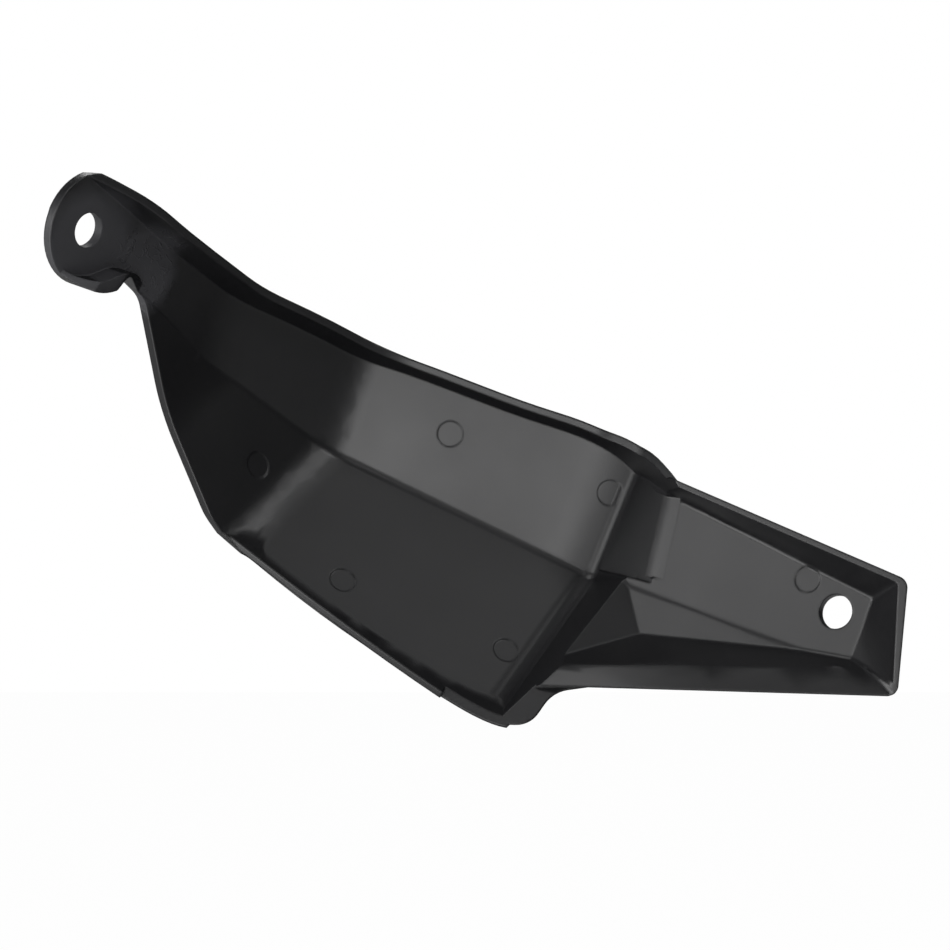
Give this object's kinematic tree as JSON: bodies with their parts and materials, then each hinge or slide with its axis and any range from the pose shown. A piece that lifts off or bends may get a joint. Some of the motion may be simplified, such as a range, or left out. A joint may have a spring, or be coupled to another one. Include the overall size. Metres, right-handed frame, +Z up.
{
  "type": "motorcycle hand guard",
  "caption": "One-piece moulded hand guard: a creased bowl shielding the rider's hand, a flat round ear with a bolt hole at one end, and a tapering pocketed arm with a bar-end bolt hole.",
  "frame": {"origin": "middle of the bar-end bolt hole, on the face of the arm that looks back to the rider", "axes": "+X outboard along the handlebar, +Y forward away from the rider, +Z up, as the guard sits on the bike and as the picture shows it"},
  "size_m": [0.2193, 0.0775, 0.1424],
  "materials": {
    "plastic": "satin black moulded plastic"
  },
  "bodies": {
    "root": {"hand_guard": "plastic"}
  },
  "joints": []
}
